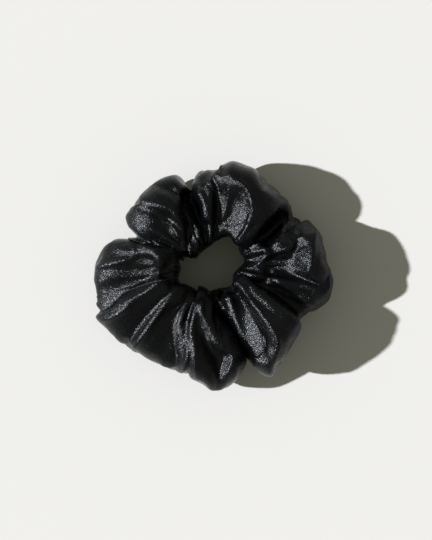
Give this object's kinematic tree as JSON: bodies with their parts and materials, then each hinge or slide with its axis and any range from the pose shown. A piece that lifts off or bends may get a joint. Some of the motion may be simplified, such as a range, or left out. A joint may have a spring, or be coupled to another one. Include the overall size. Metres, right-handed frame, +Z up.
{
  "type": "scrunchie",
  "caption": "Gathered satin hair scrunchie lying flat, with a sewn loop of flat braided elastic inside, that stretches open along one line.",
  "frame": {"origin": "centre of the hair loop, at the level of the surface that the scrunchie lies on", "axes": "+Z up out of that surface and along the hair loop, +X the way the loop is pulled open, +Y across it"},
  "size_m": [0.113, 0.108, 0.04],
  "materials": {
    "satin": "glossy black polyester satin",
    "thread": "black polyester sewing thread",
    "braid": "matt black braided polyester",
    "elastic_rubber": "plain covered rubber strand"
  },
  "bodies": {
    "held_side": {"gather_06": "satin", "gather_07": "satin", "gather_08": "satin", "tucked_end": "satin", "seam_allowance": "satin", "long_seam_needle_thread": "thread", "long_seam_bobbin_thread": "thread", "closing_seam_thread": "thread", "elastic_braid": "braid", "elastic_rubber_strands": "elastic_rubber", "elastic_join_thread": "thread"},
    "pulled_side": {"gather_12": "satin", "gather_01": "satin", "gather_02": "satin"},
    "far_run_right": {"gather_03": "satin"},
    "far_run_middle": {"gather_04": "satin"},
    "far_run_left": {"gather_05": "satin"},
    "near_run_left": {"gather_09": "satin"},
    "near_run_middle": {"gather_10": "satin"},
    "near_run_right": {"gather_11": "satin"}
  },
  "joints": [
    {"name": "stretch", "type": "slide", "parent": "held_side", "child": "pulled_side", "axis": [1, 0, 0], "range_m": [0, 0.08], "stiffness_N_per_m": 75, "deforming": ["elastic_braid", "elastic_rubber_strands", "seam_allowance", "long_seam_needle_thread", "long_seam_bobbin_thread"]},
    {"name": "far_right_follow", "type": "slide", "parent": "held_side", "child": "far_run_right", "axis": [1, 0, 0], "range_m": [0, 0.058]},
    {"name": "far_middle_follow", "type": "slide", "parent": "held_side", "child": "far_run_middle", "axis": [1, 0, 0], "range_m": [0, 0.04]},
    {"name": "far_left_follow", "type": "slide", "parent": "held_side", "child": "far_run_left", "axis": [1, 0, 0], "range_m": [0, 0.022]},
    {"name": "near_left_follow", "type": "slide", "parent": "held_side", "child": "near_run_left", "axis": [1, 0, 0], "range_m": [0, 0.022]},
    {"name": "near_middle_follow", "type": "slide", "parent": "held_side", "child": "near_run_middle", "axis": [1, 0, 0], "range_m": [0, 0.04]},
    {"name": "near_right_follow", "type": "slide", "parent": "held_side", "child": "near_run_right", "axis": [1, 0, 0], "range_m": [0, 0.058]}
  ],
  "couplings": [
    {"joint": "far_right_follow", "follows": "stretch", "ratio": 0.72},
    {"joint": "far_middle_follow", "follows": "stretch", "ratio": 0.5},
    {"joint": "far_left_follow", "follows": "stretch", "ratio": 0.27},
    {"joint": "near_left_follow", "follows": "stretch", "ratio": 0.27},
    {"joint": "near_middle_follow", "follows": "stretch", "ratio": 0.5},
    {"joint": "near_right_follow", "follows": "stretch", "ratio": 0.72}
  ]
}
